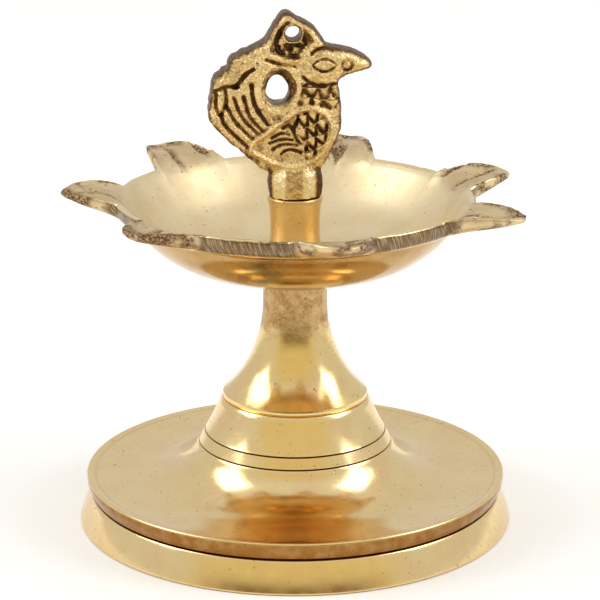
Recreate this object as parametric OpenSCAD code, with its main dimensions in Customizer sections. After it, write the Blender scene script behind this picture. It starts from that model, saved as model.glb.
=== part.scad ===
// Brass standing oil lamp (samai): a turned foot and neck, a seven-spouted
// oil dish, a short post and a cast peacock finial. Every joint is a screw on
// the lamp's own axis. Origin: centre of the foot's resting plane. Units: mm.

/* [Base] */
// Radius of the foot where it meets the table
foot_r = 42.5; // [40:0.5:46]
// Radius of the drip plate above the foot
plate_r = 41.1; // [39:0.1:42]
// Height of the drip plate's rim
plate_z = 9.65; // [9:0.05:11]
// Height of the shoulder where the stem sits on the base
shoulder_z = 24.6; // [23:0.1:26]
// Radius of the bell at that shoulder
shoulder_r = 14.3; // [13.5:0.1:15]
// Thickness of the crown that the nut pulls against
crown_t = 4.2; // [3:0.1:5]

/* [Stem] */
// Height of the neck's top face
neck_z = 48.2; // [46:0.1:50]
// Radius of the neck
neck_r = 6.2; // [6:0.1:7]

/* [Dish] */
// Radius of the dish rim between two spouts
rim_r = 34.5; // [33:0.1:36]
// Height of the dish rim
rim_z = 64.9; // [64:0.1:66]
// How far a spout reaches past the rim
spout_reach = 10.4; // [8:0.1:12]

/* [Post] */
// Height of the dish floor, where the post's seal sits
floor_z = 51.1; // [50.8:0.1:51.4]
// Height of the post's top face, which the finial sits on
post_top_z = 64.8; // [64.4:0.1:66]
// Radius of the post's waist
waist_r = 4.75; // [4.5:0.05:5]

/* [Finial] */
// Thickness of the flat peacock casting
bird_t = 7; // [5:0.5:8]
// Turn of the peacock about the lamp's axis
bird_yaw = 4; // [0:1:10]
// Radius of the drilled hole in the crest
hang_r = 1.45; // [1:0.05:1.6]

/* [Fasteners] */
// Radius of the long stud through the lamp
rod_r = 3; // [2.5:0.5:3]
// Radius of the short stud under the peacock
stud_r = 2.5; // [2:0.5:2.5]
// Width of the hexagon nut across its flats
nut_af = 10; // [9:0.5:11]
// Height of the hexagon nut
nut_h = 5; // [4:0.5:6]
// Thickness of the steel washer above the nut
washer_t = 1.2; // [1:0.1:1.6]
// Thickness of each leather washer
leather_t = 0.5; // [0.3:0.1:0.8]

/* [Hidden] */
$fn = 96;
play = 0.05;                              // radial clearance of a running thread
clear_r = rod_r + 0.3;                    // clearance hole round the long stud
spigot_r = 9;                             // spigot that centres the stem on the base
spigot_h = 1.8;
crown_z = shoulder_z - crown_t;           // underside of the crown
turns = 6;                                // turns of thread engaged in the post
rod_pitch = 1;
stud_pitch = 0.8;
post_z = floor_z + leather_t;             // underside of the post
rod_top_z = post_z + turns * rod_pitch;
nut_z = crown_z - washer_t - nut_h;       // underside of the nut
rod_low_z = nut_z - 3;
stud_low_z = 60.4;
stud_top_z = post_top_z + turns * stud_pitch;
bore_spare = 0.6;                         // empty thread beyond a stud's end
dish_under_z = neck_z + leather_t;        // flat under the dish
seat_r = 6.6;                             // radius of that flat
// Each spout: direction in degrees, share of spout_reach, curl of its edges,
// half angle that it takes of the rim, height of its middle above the rim
spouts = [[20, 1, 1.2, 13.5, 1.1], [75.5, 1.02, 1.3, 14, 1.9], [129.5, 1.02, 1.4, 14.5, 2],
          [181, 0.97, 1.1, 12.5, 1.1], [228, 0.95, 0.6, 14, 1], [282, 0.84, 0.45, 14, 0.95],
          [336, 1.14, 0.7, 13.5, 0.4]];
// Where the dish is drawn: across each spout, and between it and the next
spout_cuts = [-1, -0.86, -0.72, -0.58, -0.45, -0.33, -0.21, -0.1, 0,
              0.1, 0.21, 0.33, 0.45, 0.58, 0.72, 0.86];
gap_cuts = [0, 0.33, 0.67];
// Each ring of the dish: radius, height, share of the spout's reach, share of
// its rise, share of its curl, thinning of the spout towards its tip
outer_rings = [[seat_r, dish_under_z, 0, 0, 0, 0], [13, 49.8, 0, 0, 0, 0], [19, 51.3, 0, 0, 0, 0],
               [24, 53.4, 0, 0, 0, 0], [28, 56.4, 0, 0, 0, 0], [30.4, 59.2, 0, 0, 0, 0],
               [31.3, 60.5, 0, 0, 0, 0], [33.2, 61.4, 0.05, 0, 0, 0],
               [34.1, 62.3, 0.45, 0.5, 0.3, 0.3], [34.4, 63.1, 0.95, 1, 0.9, 0.7],
               [rim_r, rim_z - 0.4, 1, 1, 1, 0]];
inner_rings = [[rim_r - 0.5, rim_z, 0.97, 1, 1, 0], [rim_r - 1.3, rim_z - 0.3, 0.85, 1, 0.75, 0],
               [32.3, 63.8, 0.4, 0.9, 0.3, 0], [31.2, 62.4, 0.1, 0.3, 0, 0],
               [29, 59.8, 0, 0, 0, 0], [26, 57, 0, 0, 0, 0], [22, 54.7, 0, 0, 0, 0],
               [17, 52.7, 0, 0, 0, 0], [12, 51.5, 0, 0, 0, 0], [8, floor_z, 0, 0, 0, 0]];

brass = [0.86, 0.68, 0.34];
pale_brass = [0.88, 0.76, 0.5];
dark_brass = [0.62, 0.46, 0.2];
steel = [0.6, 0.6, 0.58];
leather = [0.4, 0.24, 0.14];

// A quadratic curve from a to c that leans towards b
function curve(a, b, c, n = 8) =
    [for (i = [0:n]) let (t = i / n) (1 - t) ^ 2 * a + 2 * t * (1 - t) * b + t ^ 2 * c];

// A smooth closed outline through hand-placed points (Catmull-Rom)
function smooth_outline(p, n = 4) =
    let (m = len(p))
    [for (i = [0:m - 1], j = [0:n - 1])
        let (t = j / n, a = p[(i + m - 1) % m], b = p[i], c = p[(i + 1) % m], d = p[(i + 2) % m])
        0.5 * (2 * b + (c - a) * t + (2 * a - 5 * b + 4 * c - d) * t ^ 2
               + (3 * b - a - 3 * c + d) * t ^ 3)];

module turned(profile) {
    rotate_extrude()
        polygon(profile);
}

module washer(r_in, r_out, z, t) {
    translate([0, 0, z])
        difference() {
            cylinder(r = r_out, h = t);
            translate([0, 0, -1])
                cylinder(r = r_in, h = t + 2);
        }
}

module threaded_stud(r, z_low, z_high) {
    chamfer = 0.5;
    turned([[0, z_low], [r - chamfer, z_low], [r, z_low + chamfer],
            [r, z_high - chamfer], [r - chamfer, z_high], [0, z_high]]);
}

// Foot, drip plate and bell: one hollow casting, turned outside and inside
module base() {
    groove_low = 15.6;
    groove_high = 17.75;
    outside = concat(
        [[foot_r - 0.3, 0], [foot_r, 0.3], [foot_r, 1.2]],
        curve([foot_r - 0.1, 1.6], [foot_r - 1.4, 3.4], [foot_r - 2.1, 5.7]),
        [[foot_r - 2.6, 6.1], [plate_r - 0.9, 6.45]],
        curve([plate_r - 0.7, 6.8], [plate_r, 8], [plate_r, plate_z - 0.5], 4),
        curve([plate_r - 0.1, plate_z - 0.2], [plate_r - 0.5, plate_z + 0.1],
              [plate_r - 1.4, plate_z - 0.15], 4),
        [[37, 9], [32, 8.8]],
        curve([30, 8.8], [22.3, 9], [19.2, groove_low - 0.3], 12),
        [[18.6, groove_low], [18.8, groove_low + 0.25], [17.9, groove_high - 0.25],
         [17.35, groove_high], [17.55, groove_high + 0.25]],
        curve([17.3, 18.4], [15.9, 20.8], [shoulder_r + 0.2, shoulder_z - 0.4]),
        [[shoulder_r, shoulder_z], [spigot_r, shoulder_z], [spigot_r, shoulder_z + spigot_h],
         [clear_r, shoulder_z + spigot_h]]);
    inside = concat(
        [[clear_r, crown_z], [10.8, crown_z]],
        curve([11.6, crown_z - 0.6], [13.6, 17.5], [15, 14]),
        curve([15.6, 12.6], [18.5, 6.6], [27, 6.6], 10),
        [[36.6, 6.6], [37.4, 5.6]],
        curve([38, 4.6], [38.8, 2.6], [39.8, 0]));
    color(brass)
        turned(concat(outside, inside));
}

// Neck: sits over the base's spigot, and is tapped at the top for the long stud
module stem() {
    lip_r = 14.2;
    color(brass)
        turned(concat(
            [[lip_r - 0.3, shoulder_z], [lip_r, shoulder_z + 0.3], [lip_r, shoulder_z + 0.9]],
            curve([lip_r - 0.15, shoulder_z + 1.2], [10.2, 29.2], [8.3, 33.9], 12),
            curve([8.2, 34.2], [neck_r + 0.05, 38.9], [neck_r, 44], 12),
            [[neck_r, neck_z - 1.8], [neck_r + 0.2, neck_z - 1.2], [neck_r + 0.2, neck_z - 0.4],
             [neck_r - 0.1, neck_z], [rod_r, neck_z], [rod_r, 36], [5.5, 31],
             [spigot_r + play, shoulder_z + spigot_h + 0.4], [spigot_r + play, shoulder_z]]));
}

module dish_gasket() {
    color(leather)
        washer(rod_r + 0.1, neck_r - 0.4, neck_z, leather_t);
}

// Every direction in which the dish is drawn: [angle, spout, -1 to 1 across it]
dish_cuts = [for (k = [0:len(spouts) - 1])
    let (s = spouts[k], next = spouts[(k + 1) % len(spouts)], low = s[0] + s[3],
         high = next[0] - next[3] + (k == len(spouts) - 1 ? 360 : 0))
    each concat([for (u = spout_cuts) [s[0] + u * s[3], k, u]],
                [for (t = gap_cuts) [low + t * (high - low), k, 1]])];

// A ring of the dish: round between the spouts, drawn out along each of them
function dish_ring(ring) =
    [for (cut = dish_cuts)
        let (a = cut[0], s = spouts[cut[1]], u = abs(cut[2]), f = (1 - u * u) ^ 1.6,
             r = ring[0] + ring[2] * s[1] * spout_reach * f,
             z = ring[1] + (ring[3] * s[4] + ring[5]) * f + ring[4] * s[2] * sin(180 * u ^ 1.4))
        [r * cos(a), r * sin(a), z]];

// Oil dish: one casting with seven spouts, bored for the long stud
module dish() {
    rings = concat(outer_rings, inner_rings);
    n = len(dish_cuts);
    last = len(rings) - 1;
    points = [for (ring = rings) each dish_ring(ring)];
    sides = [for (k = [0:last - 1], i = [0:n - 1])
        let (j = (i + 1) % n, a = k * n + i, b = k * n + j, c = a + n, e = b + n)
        each [[a, c, b], [b, c, e]]];
    under = [for (i = [0:n - 1]) i];
    floor_ring = [for (i = [n - 1:-1:0]) last * n + i];
    color(pale_brass)
        difference() {
            polyhedron(points = points, faces = concat([under], sides, [floor_ring]));
            translate([0, 0, dish_under_z - 1])
                cylinder(r = rod_r + play, h = 6);
        }
}

module post_seal() {
    color(leather)
        washer(rod_r + play, 5.8, floor_z, leather_t);
}

// Waisted post: tapped from below for the long stud and from above for the short one
module post() {
    color(brass)
        turned(concat(
            [[rod_r + play, post_z], [6.1, post_z], [6.3, post_z + 0.3], [6.3, post_z + 0.9]],
            curve([6, post_z + 1.4], [waist_r + 0.1, post_z + 2.6], [waist_r, post_z + 6]),
            curve([waist_r, post_z + 7], [waist_r, 62], [5.2, 63.4]),
            [[5.3, 63.8], [5.3, post_top_z - 0.3], [5.1, post_top_z], [stud_r + play, post_top_z],
             [stud_r + play, stud_low_z - 0.2], [0, stud_low_z - 0.2],
             [0, rod_top_z + bore_spare], [rod_r + play, rod_top_z + bore_spare]]));
}

module tie_rod() {
    color(steel)
        threaded_stud(rod_r, rod_low_z, rod_top_z);
}

module base_washer() {
    color(steel)
        washer(rod_r + play, 6.5, crown_z - washer_t, washer_t);
}

module base_nut() {
    color(steel)
        translate([0, 0, nut_z])
            difference() {
                cylinder(d = nut_af / cos(30), h = nut_h, $fn = 6);
                translate([0, 0, -1])
                    cylinder(r = rod_r + play, h = nut_h + 2);
            }
}

module finial_stud() {
    color(steel)
        threaded_stud(stud_r, stud_low_z, stud_top_z);
}

// Outlines of the peacock, seen from the front: x to the beak, y up
bird_outline = [[4.2, 70.6], [6, 73.6], [7.8, 76.6], [8.5, 80.3], [8, 84.5], [7.9, 87.2],
                [9.4, 88.5], [12.6, 89.5], [14.3, 90.5], [12.6, 92.2], [9.5, 93.5], [6.3, 94.2],
                [5.1, 95.6], [3.2, 97.9], [0.6, 99.4], [-1.9, 100.6], [-4.1, 98.4],
                [-5.5, 95.4], [-6.7, 94.2], [-9.6, 93], [-12, 90.8], [-14.6, 88.3],
                [-16.1, 85.3], [-16.6, 81.6], [-15.4, 78.8], [-12, 75.7], [-8.2, 72.8],
                [-4.8, 70.2]];
loop_outline = [[-1.9, 83.2], [-0.3, 84.9], [0, 87], [-1.6, 89.4], [-3.6, 89.7], [-5.1, 87.9],
                [-5.7, 85.3], [-4.4, 83.1]];

// The collar is a squat block with its corners cut off, fuller at mid height
module collar() {
    intersection() {
        turned([[0, post_top_z], [5.4, post_top_z], [6, 67.2], [5.9, 69], [5, 71.6], [0, 71.6]]);
        translate([0, 0, post_top_z])
            rotate([0, 0, 22.5])
                cylinder(r = 5.95, h = 8, $fn = 8);
    }
}

module peacock_finial() {
    hole_z = 96.5;
    hole_x = -0.5;
    color(dark_brass)
        rotate([0, 0, bird_yaw])
            difference() {
                union() {
                    collar();
                    rotate([90, 0, 0])
                        translate([0, 0, -bird_t / 2])
                            linear_extrude(height = bird_t)
                                difference() {
                                    polygon(smooth_outline(bird_outline));
                                    polygon(smooth_outline(loop_outline));
                                }
                }
                translate([hole_x, 0, hole_z])
                    rotate([90, 0, 0])
                        cylinder(r = hang_r, h = bird_t + 2, center = true);
                translate([0, 0, post_top_z - 1])
                    cylinder(r = stud_r + play, h = stud_top_z - post_top_z + 1 + bore_spare);
            }
}

base();
stem();
dish_gasket();
dish();
post_seal();
post();
tie_rod();
base_washer();
base_nut();
finial_stud();
peacock_finial();
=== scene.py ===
"""Brass standing oil lamp (samai): turned foot, neck and post, a seven-spouted oil dish and a cast peacock.

Every piece is drawn in millimetres in the CAD frame and made in metres. The turned pieces are lathe profiles.
The dish is one too, but its radius and height change with the angle. The peacock is the surface of a solid
given by distances to its outlines.
"""
import math

import bmesh
import bpy
import numpy as np
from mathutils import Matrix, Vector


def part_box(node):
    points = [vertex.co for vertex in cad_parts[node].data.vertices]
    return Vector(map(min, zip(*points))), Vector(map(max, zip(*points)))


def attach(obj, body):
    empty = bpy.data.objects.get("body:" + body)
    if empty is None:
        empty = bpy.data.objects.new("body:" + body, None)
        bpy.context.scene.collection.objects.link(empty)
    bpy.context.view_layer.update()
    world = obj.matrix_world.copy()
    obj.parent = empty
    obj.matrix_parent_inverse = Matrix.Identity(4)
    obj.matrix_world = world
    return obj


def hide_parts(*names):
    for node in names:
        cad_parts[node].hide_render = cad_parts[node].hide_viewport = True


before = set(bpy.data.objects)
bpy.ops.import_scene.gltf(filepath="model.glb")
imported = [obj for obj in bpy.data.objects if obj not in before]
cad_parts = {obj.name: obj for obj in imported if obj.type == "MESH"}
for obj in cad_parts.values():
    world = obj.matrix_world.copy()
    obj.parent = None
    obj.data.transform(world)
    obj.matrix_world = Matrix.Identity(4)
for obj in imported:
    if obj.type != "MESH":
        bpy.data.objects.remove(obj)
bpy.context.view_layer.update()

MM = 0.001


# ---------------- numbers from the frame
def low_mm(node):
    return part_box(node)[0] / MM


def high_mm(node):
    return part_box(node)[1] / MM


FOOT_R = float(high_mm("base")[0])
SHOULDER_Z = float(low_mm("stem")[2])
NECK_Z = float(high_mm("stem")[2])
DISH_Z = float(low_mm("dish")[2])
FLOOR_Z = float(low_mm("post_seal")[2])
POST_Z = float(low_mm("post")[2])
POST_TOP_Z = float(high_mm("post")[2])
ROD_R = float(high_mm("tie_rod")[0])
STUD_R = float(high_mm("finial_stud")[0])
PLAY = 0.05


# ---------------- curves and noise
def curve(a, b, c, n=16):
    """A quadratic curve from a to c that leans towards b."""
    t = np.linspace(0, 1, n + 1)[:, None]
    a, b, c = (np.array(p, float) for p in (a, b, c))
    return [tuple(p) for p in (1 - t) ** 2 * a + 2 * t * (1 - t) * b + t**2 * c]


def rounded(points, n=5):
    """A closed profile whose points (r, z, radius) are rounded off; points (r, z) stay sharp."""
    out = []
    for i, p in enumerate(points):
        if len(p) == 2:
            out.append(tuple(p))
            continue
        here = np.array(p[:2], float)
        before, after = np.array(points[i - 1][:2], float), np.array(points[(i + 1) % len(points)][:2], float)
        ends = []
        for other in (before, after):
            way = other - here
            length = np.linalg.norm(way)
            ends.append(here + way / length * min(p[2], 0.45 * length))
        out += curve(ends[0], here, ends[1], n)
    return out


def smooth_path(points, closed=False, n=8):
    """A smooth line through the points (Catmull-Rom)."""
    p = np.array(points, float)
    m = len(p)
    pick = (lambda i: p[i % m]) if closed else (lambda i: p[min(max(i, 0), m - 1)])
    out = []
    for i in range(m if closed else m - 1):
        a, b, c, d = pick(i - 1), pick(i), pick(i + 1), pick(i + 2)
        for t in np.arange(n) / n:
            out.append(0.5 * (2 * b + (c - a) * t + (2 * a - 5 * b + 4 * c - d) * t**2
                              + (3 * b - a - 3 * c + d) * t**3))
    if not closed:
        out.append(p[-1])
    return np.array(out)


def step(low, high, x):
    """0 below low, 1 above high, smooth between."""
    t = np.clip((x - low) / (high - low), 0, 1)
    return t * t * (3 - 2 * t)


NOISE_CELLS = 32
NOISE_TABLE = np.random.default_rng(7).uniform(-1, 1, (NOISE_CELLS,) * 3).astype(np.float32)


def noise(x, y, z, size, layers=1):
    """Smooth noise from about -1 to 1, with features as wide as size, on arrays of coordinates."""
    total = np.zeros(np.broadcast(x, y, z).shape, np.float32)
    for layer in range(layers):
        cells, parts = [], []
        for k, v in enumerate((x, y, z)):
            v = np.asarray(v, np.float32) * (2**layer / size) + 11.3 * (k + 1) + 5.7 * layer
            whole = np.floor(v)
            f = v - whole
            cells.append(whole.astype(np.int64) % NOISE_CELLS)
            parts.append(f * f * (3 - 2 * f))
        for corner in range(8):
            bits = [(corner >> k) & 1 for k in range(3)]
            index = tuple((c + b) % NOISE_CELLS for c, b in zip(cells, bits))
            weight = 1
            for f, b in zip(parts, bits):
                weight = weight * (f if b else 1 - f)
            total = total + NOISE_TABLE[index] * weight * 0.5**layer
    return total


# ---------------- meshes
def make_mesh(name, points, faces, sharp_deg=32):
    """An object from points in mm and an array of quads, shaded smooth up to the sharp angle."""
    mesh = bpy.data.meshes.new(name)
    points, faces = np.asarray(points, np.float64) * MM, np.asarray(faces, np.int32)
    mesh.vertices.add(len(points))
    mesh.vertices.foreach_set("co", points.astype(np.float32).ravel())
    mesh.loops.add(faces.size)
    mesh.loops.foreach_set("vertex_index", faces.ravel())
    mesh.polygons.add(len(faces))
    mesh.polygons.foreach_set("loop_start", np.arange(len(faces), dtype=np.int32) * faces.shape[1])
    mesh.update(calc_edges=True)
    mesh.polygons.foreach_set("use_smooth", np.ones(len(faces), bool))
    mesh.set_sharp_from_angle(angle=math.radians(sharp_deg))
    mesh.validate()
    obj = bpy.data.objects.new(name, mesh)
    bpy.context.scene.collection.objects.link(obj)
    return obj


def skin(name, rings, weld=False, **looks):
    """A closed skin over rings: an array (rings, steps, 3) that closes both ways round."""
    rings = np.asarray(rings, float)
    count, steps = rings.shape[:2]
    k, i = np.meshgrid(np.arange(count), np.arange(steps), indexing="ij")
    k2, i2 = (k + 1) % count, (i + 1) % steps
    faces = np.stack([k * steps + i, k * steps + i2, k2 * steps + i2, k2 * steps + i], -1).reshape(-1, 4)
    obj = make_mesh(name, rings.reshape(-1, 3), faces, **looks)
    if weld:
        bm = bmesh.new()
        bm.from_mesh(obj.data)
        bmesh.ops.remove_doubles(bm, verts=bm.verts, dist=1e-7)
        bmesh.ops.recalc_face_normals(bm, faces=bm.faces)
        bm.to_mesh(obj.data)
        bm.free()
    return obj


def turned(name, profile, steps=240, **looks):
    """A lathe piece: a closed profile of (r, z), counterclockwise with r to the right, turned about Z."""
    p = np.array(profile, float)
    a = np.arange(steps) * 2 * math.pi / steps
    rings = np.stack([p[:, :1] * np.cos(a), p[:, :1] * np.sin(a), p[:, 1:] + 0 * a], -1)
    return skin(name, rings, weld=bool((p[:, 0] < 1e-6).any()), **looks)


def set_attribute(obj, name, values):
    made = obj.data.attributes.new(name, "FLOAT", "POINT")
    made.data.foreach_set("value", np.asarray(values, np.float32))


def points_of(obj):
    co = np.empty(len(obj.data.vertices) * 3, np.float32)
    obj.data.vertices.foreach_get("co", co)
    return co.reshape(-1, 3) / MM


# ---------------- materials
class Nodes:
    """Adds nodes to one tree. Every value is a socket, a number or a colour."""

    def __init__(self, tree):
        self.tree = tree

    def node(self, kind, inputs=None, **settings):
        """A new node, with values plugged into its inputs by name or number."""
        made = self.tree.nodes.new(kind)
        for key, value in settings.items():
            setattr(made, key, value)
        for key, value in (inputs or {}).items():
            self.plug(made.inputs[key], value)
        return made

    def plug(self, socket, value):
        if isinstance(value, bpy.types.NodeSocket):
            self.tree.links.new(value, socket)
        elif socket.type == "RGBA":
            socket.default_value = (*value, 1)
        else:
            socket.default_value = value

    def math(self, operation, a, b=0.0):
        return self.node("ShaderNodeMath", {0: a, 1: b}, operation=operation).outputs[0]

    def plus(self, a, b):
        return self.math("ADD", a, b)

    def minus(self, a, b):
        return self.math("SUBTRACT", a, b)

    def times(self, a, b):
        return self.math("MULTIPLY", a, b)

    def most(self, a, b):
        return self.math("MAXIMUM", a, b)

    def ramp(self, value, low, high, start=0.0, end=1.0):
        """start up to low, end from high, smooth between."""
        inputs = {"Value": value, "From Min": low, "From Max": high, "To Min": start, "To Max": end}
        return self.node("ShaderNodeMapRange", inputs, interpolation_type="SMOOTHSTEP").outputs[0]

    def mix(self, fac, a, b):
        """Colour a where fac is 0, b where it is 1. Sockets 6, 7 and 2 are the colours."""
        return self.node("ShaderNodeMix", {0: fac, 6: a, 7: b}, data_type="RGBA").outputs[2]


class Shader(Nodes):
    """Builds one material from nodes, with places in mm."""

    def __init__(self, name):
        self.material = bpy.data.materials.new(name)
        self.material.use_nodes = True
        super().__init__(self.material.node_tree)
        self.bsdf = self.tree.nodes["Principled BSDF"]
        metres = self.node("ShaderNodeTexCoord").outputs["Object"]
        scale = self.node("ShaderNodeVectorMath", {0: metres, "Scale": 1 / MM}, operation="SCALE")
        self.place = scale.outputs[0]

    def split(self):
        """The x, y and z of the place, in mm."""
        return self.node("ShaderNodeSeparateXYZ", {0: self.place}).outputs

    def join(self, x, y, z=0.0):
        return self.node("ShaderNodeCombineXYZ", {0: x, 1: y, 2: z}).outputs[0]

    def noise(self, size, detail=2.0, rough=0.5, place=None):
        """Noise from 0 to 1 with features about size mm wide."""
        place = self.place if place is None else place
        inputs = {"Vector": place, "Scale": 1 / size, "Detail": detail, "Roughness": rough}
        return self.node("ShaderNodeTexNoise", inputs).outputs["Fac"]

    def pits(self, size, share, radius):
        """1 inside scattered round pits: cells of size mm, a share of them pitted, radius in mm."""
        cells = self.node("ShaderNodeTexVoronoi", {"Vector": self.place, "Scale": 1 / size})
        near = self.ramp(cells.outputs["Distance"], radius / size * 0.5, radius / size, 1.0, 0.0)
        pick = self.node("ShaderNodeSeparateColor", {0: cells.outputs["Color"]})
        return self.times(near, self.math("LESS_THAN", pick.outputs[0], share))

    def attribute(self, name):
        return self.node("ShaderNodeAttribute", attribute_name=name).outputs["Fac"]

    def bump(self, height, distance_mm, strength):
        inputs = {"Height": height, "Distance": distance_mm * MM, "Strength": strength}
        return self.node("ShaderNodeBump", inputs).outputs[0]

    def lathe_lines(self, size):
        """Fine rings about the lamp's axis: noise read by radius and height only."""
        x, y, z = self.split()
        radius = self.math("SQRT", self.plus(self.math("POWER", x, 2.0), self.math("POWER", y, 2.0)))
        return self.noise(size, detail=3, place=self.join(radius, 0.0, z))

    def finish(self, colour, rough, normal=None, metal=1.0):
        self.plug(self.bsdf.inputs["Base Color"], colour)
        self.plug(self.bsdf.inputs["Roughness"], rough)
        self.bsdf.inputs["Metallic"].default_value = metal
        if normal is not None:
            self.plug(self.bsdf.inputs["Normal"], normal)
        return self.material


BRASS = (0.86, 0.66, 0.33)
RED_BRASS = (0.84, 0.60, 0.30)
NECK_BRASS = (0.87, 0.66, 0.29)
POST_BRASS = (0.74, 0.48, 0.17)
TARNISH = (0.38, 0.215, 0.08)
# Painted dark reflection for the plate's edge band, and painted shade for the grooves
PAINTED_DARK_REFLECTION = (0.33, 0.150, 0.032)
PAINTED_GROOVE_SHADE = (0.12, 0.055, 0.02)
PIT_BROWN = (0.10, 0.05, 0.02)
# Each pair is the two tones of a cloudy patch
BOWL_SIDE = ((0.86, 0.70, 0.42), BRASS)
BOWL_SATIN = ((0.83, 0.69, 0.445), (0.77, 0.62, 0.375))
# The underside's two tones are painted shade and painted dark reflection
BOWL_UNDER_PAINTED_SHADE = ((0.62, 0.40, 0.16), (0.52, 0.31, 0.11))
SPOUT_SKIN = ((0.77, 0.61, 0.36), (0.64, 0.475, 0.27))
# A painted reflection, green-brown, under the bowl
PAINTED_GREEN_REFLECTION = (0.23, 0.19, 0.085)
CAST_DIRT = (0.17, 0.085, 0.038)
FILE_MARK = (0.15, 0.085, 0.048)
CAST_WORN = ((0.98, 0.77, 0.40), (0.88, 0.64, 0.30))
CAST_FLECK_AND_HIGHLIGHT = (1.0, 0.87, 0.55)
CAST_BROWN = (0.45, 0.28, 0.12)
CAST_DARK = (0.13, 0.068, 0.027)


def turned_brass(name, colour=BRASS, rough=(0.12, 0.22), skin_from=None, edged=False):
    """Polished lathe-turned brass: cloudy tone, fine rings, stray casting pits.

    From skin_from mm upwards it keeps its cast skin. Edged brass gets painted shade in its grooves and at the
    foot's bottom edge, and a painted dark reflection on the plate's edge band, where the mesh's edge
    attribute is high."""
    s = Shader(name)
    cloud = s.noise(9, detail=4, rough=0.6)
    tone = s.mix(s.ramp(cloud, 0.35, 0.7), colour, RED_BRASS)
    pits = s.most(s.pits(1.9, 0.7, 0.14), s.pits(5.0, 0.9, 0.24))
    if edged:
        # Painted light on the edged foot: a mottled painted dark reflection, then painted shade in the
        # grooves
        mottle = s.ramp(s.noise(2.6, detail=5, rough=0.6), 0.38, 0.66, 1.0, 0.84)
        painted_edge_shade = s.attribute("painted_edge_shade")
        tone = s.mix(s.times(s.ramp(painted_edge_shade, 0.0, 0.5), mottle), tone, PAINTED_DARK_REFLECTION)
        tone = s.mix(s.ramp(painted_edge_shade, 0.6, 0.9), tone, PAINTED_GROOVE_SHADE)
    roughness = s.ramp(s.noise(3, detail=5), 0.3, 0.7, *rough)
    height = s.minus(s.times(s.lathe_lines(0.16), 0.12), pits)
    if skin_from is not None:
        # The skin begins at an uneven height, up to 9 mm of noise about skin_from
        patch = s.plus(s.split()[2], s.times(s.noise(3.0, detail=4, rough=0.7), 9.0))
        cast = s.ramp(patch, skin_from + 2.5, skin_from + 7)
        grain = s.noise(0.6, detail=5, rough=0.7)
        blotch = s.ramp(s.noise(2.2, detail=3), 0.40, 0.62, 0.72, 1.0)
        dark = s.times(s.times(cast, blotch), s.ramp(grain, 0.40, 0.64, 1.0, 0.72))
        tone = s.mix(dark, tone, TARNISH)
        roughness = s.plus(roughness, s.times(cast, 0.16))
        height = s.plus(height, s.times(s.times(cast, grain), 1.2))
    specks = s.ramp(s.noise(0.55, detail=2), 0.67, 0.74, 0.0, 0.7)
    tone = s.mix(s.most(pits, specks), tone, PIT_BROWN)
    height = s.minus(height, specks)
    return s.finish(tone, roughness, s.bump(height, 0.05, 0.6))


def dish_brass(name):
    """Satin bowl, an underside browned with painted shade and painted dark reflection, and tan cast spouts.

    The mesh's attributes say where each is, and where casting grit, file marks and the painted green
    reflection are."""
    s = Shader(name)
    grit, filed, spout = s.attribute("grit"), s.attribute("filed"), s.attribute("spout")
    satin, under, green_reflection = s.attribute("satin"), s.attribute("under"), s.attribute("green_reflection")
    cloud = s.ramp(s.noise(7, detail=4, rough=0.6), 0.35, 0.7)
    tone = s.mix(cloud, *BOWL_SIDE)
    tone = s.mix(satin, tone, s.mix(cloud, *BOWL_SATIN))
    # Painted shade and dark reflection: the underside is browner and darker
    tone = s.mix(under, tone, s.mix(cloud, *BOWL_UNDER_PAINTED_SHADE))
    # Painted reflection: a blotchy green-brown patch under the bowl
    blotch = s.times(green_reflection, s.ramp(s.noise(2.2, detail=4, rough=0.65), 0.30, 0.60, 0.3, 1.3))
    tone = s.mix(s.ramp(blotch, 0.15, 0.85, 0.0, 0.8), tone, PAINTED_GREEN_REFLECTION)
    tone = s.mix(s.times(spout, 0.9), tone, s.mix(cloud, *SPOUT_SKIN))
    grain = s.noise(0.5, detail=4, rough=0.65)
    speck = s.times(spout, s.ramp(s.noise(1.1, detail=3), 0.62, 0.72, 0.0, 0.8))
    dirt = s.most(speck, s.times(grit, s.ramp(grain, 0.44, 0.60, 1.0, 0.35)))
    tone = s.mix(dirt, tone, CAST_DIRT)
    # File strokes run at a slant across the rim, whose radius is 34 mm
    x, y, z = s.split()
    along = s.plus(s.times(s.math("ARCTAN2", y, x), 34.0), s.times(z, 0.35))
    strokes = s.noise(0.30, detail=3, place=s.join(along, s.times(z, 0.10)))
    tone = s.mix(s.times(filed, s.ramp(strokes, 0.42, 0.72, 0.95, 0.55)), tone, FILE_MARK)
    pits = s.most(s.pits(2.2, 0.7, 0.14), s.pits(5.0, 0.6, 0.22))
    pits = s.most(pits, s.ramp(s.noise(0.55, detail=2), 0.69, 0.75, 0.0, 0.6))
    tone = s.mix(pits, tone, PIT_BROWN)
    roughness = s.ramp(s.noise(3, detail=5), 0.3, 0.7, 0.10, 0.18)
    roughness = s.minus(roughness, s.times(under, 0.05))
    roughness = s.plus(roughness, s.times(s.most(spout, satin), 0.29))
    roughness = s.plus(roughness, s.times(s.most(filed, grit), 0.18))
    height = s.times(s.lathe_lines(0.2), 0.15)
    height = s.plus(height, s.times(s.times(s.plus(grit, 0.15), grain), 2.0))
    height = s.plus(height, s.times(s.times(filed, strokes), 1.0))
    height = s.minus(height, pits)
    return s.finish(tone, roughness, s.bump(height, 0.06, 0.7))


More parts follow.
